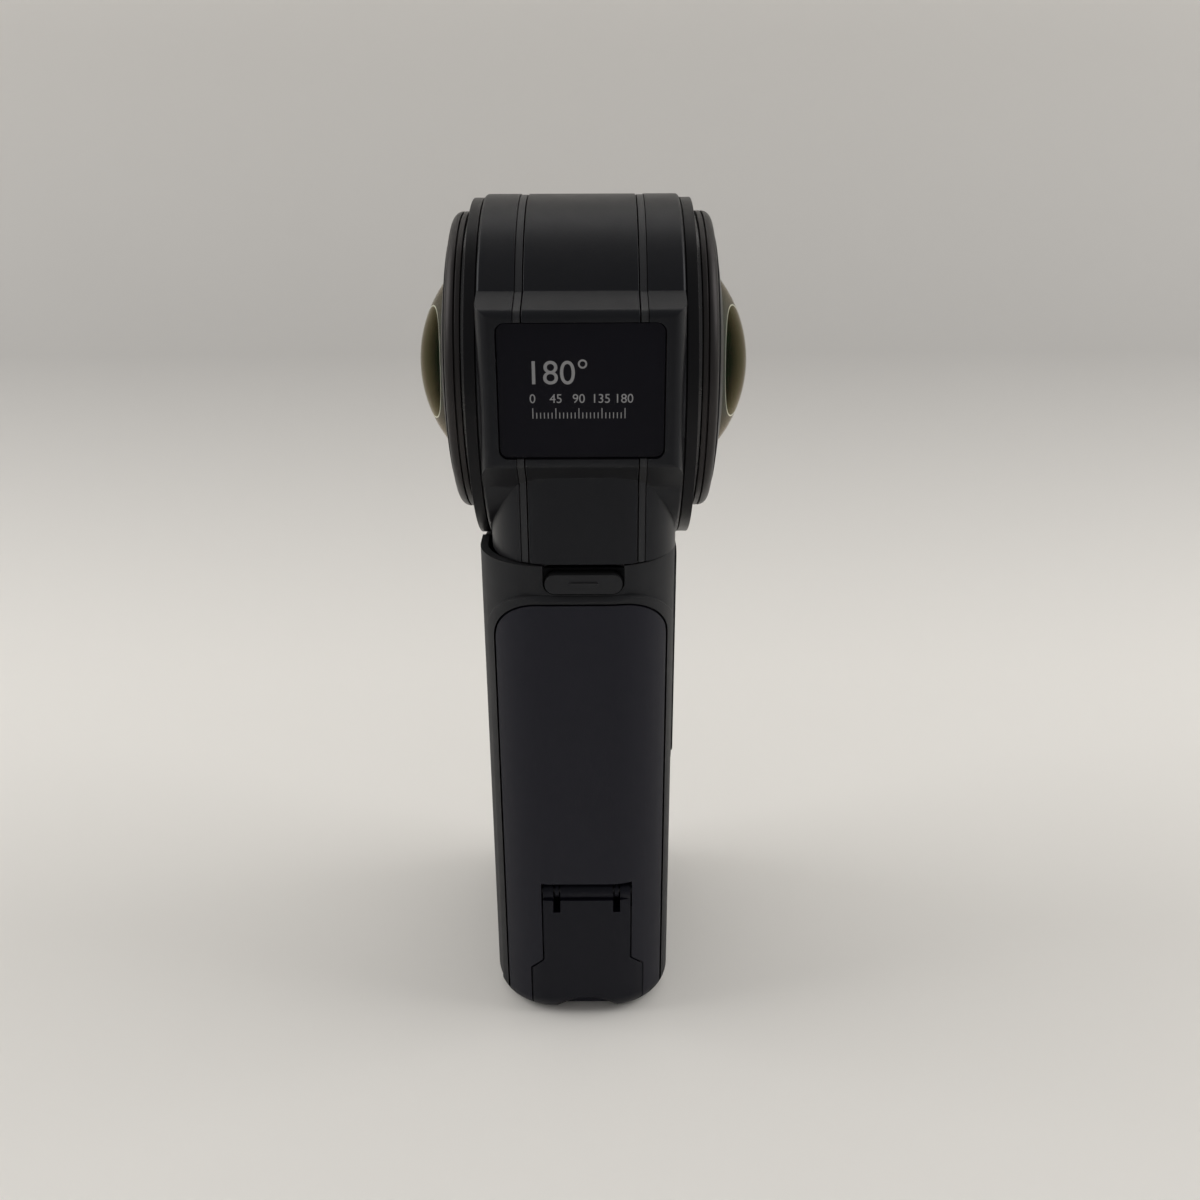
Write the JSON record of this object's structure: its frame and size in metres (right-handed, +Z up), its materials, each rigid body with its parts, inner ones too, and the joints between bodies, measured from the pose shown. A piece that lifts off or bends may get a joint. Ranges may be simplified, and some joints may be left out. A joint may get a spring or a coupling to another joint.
{
  "type": "360 degree camera",
  "caption": "Hand-held all-round camera with a round head, a bulging fisheye lens on each side, window plates and a slab grip with a slide-out battery and a hinged port door.",
  "frame": {"origin": "bottom centre of the object, on the base under the middle of the head", "axes": "+Z up, X along the lens axis, -Y towards the battery panel and port door, +Y towards the shutter button"},
  "size_m": [0.0494, 0.0532, 0.1293],
  "materials": {
    "shell": "matte",
    "panel": "matte",
    "trim": "satin",
    "window": "gloss",
    "ring": "satin",
    "bright_ring": "satin",
    "lens_glass": "gloss",
    "screen_glass": "gloss",
    "barrel": "matte",
    "seal": "matte",
    "circuit": "satin",
    "spreader": "satin",
    "plug": "satin",
    "steel": "satin",
    "brass": "satin",
    "inner_case": "matte",
    "button": "satin",
    "cell": "satin"
  },
  "bodies": {
    "camera_body": {"head_center_band": "shell", "head_shell_left": "shell", "head_shell_right": "shell", "trim_strip_left": "trim", "trim_strip_right": "trim", "window_plate_front": "window", "window_plate_back": "window", "flange_ring_left": "ring", "flange_ring_right": "ring", "trim_ring_left": "bright_ring", "trim_ring_right": "bright_ring", "guard_ring_left": "ring", "guard_ring_right": "ring", "lens_retainer_left": "ring", "lens_retainer_right": "ring", "front_lens_left": "lens_glass", "front_lens_right": "lens_glass", "inner_lens_left": "lens_glass", "inner_lens_right": "lens_glass", "lens_barrel_left": "barrel", "lens_barrel_right": "barrel", "lens_seal_left": "seal", "lens_seal_right": "seal", "sensor_board_left": "circuit", "sensor_board_right": "circuit", "heat_spreader": "spreader", "neck_plate": "shell", "head_plug": "plug", "head_screws": "steel", "grip_sleeve": "shell", "tripod_bush": "brass", "grip_screws": "steel", "core_housing": "inner_case", "core_cover": "inner_case", "main_board": "circuit", "heat_sink": "spreader", "card_socket": "steel", "memory_card": "plug", "contact_pins": "brass", "speaker": "plug", "display_frame": "shell", "display_panel": "window", "display_glass": "screen_glass", "button_board": "circuit", "release_spring": "steel"},
    "battery_pack": {"battery_case": "panel", "battery_lid": "inner_case", "battery_cell": "cell", "battery_board": "circuit", "battery_contacts": "brass", "usb_socket": "steel", "usb_board": "circuit", "door_hinge_pin": "steel"},
    "door_leaf": {"port_door": "panel", "door_seal": "seal"},
    "release_latch": {"release_button": "button"},
    "shutter_key": {"shutter_button": "button"},
    "power_key": {"power_button": "button"}
  },
  "joints": [
    {"name": "battery_slide", "type": "slide", "parent": "camera_body", "child": "battery_pack", "axis": [0, -1, 0], "range_m": [0, 0.024]},
    {"name": "port_door_hinge", "type": "hinge", "parent": "battery_pack", "child": "door_leaf", "pos_m": [0, -0.0226, 0.0239], "axis": [-1, 0, 0], "range_deg": [0, 95]},
    {"name": "release_slide", "type": "slide", "parent": "camera_body", "child": "release_latch", "axis": [0, 0, 1], "range_m": [0, 0.0009], "stiffness_N_per_m": 300, "deforming": ["release_spring"]},
    {"name": "shutter_press", "type": "slide", "parent": "camera_body", "child": "shutter_key", "axis": [0, -1, 0], "range_m": [0, 0.0005], "stiffness_N_per_m": 800},
    {"name": "power_press", "type": "slide", "parent": "camera_body", "child": "power_key", "axis": [0, -1, 0], "range_m": [0, 0.0005], "stiffness_N_per_m": 800}
  ]
}
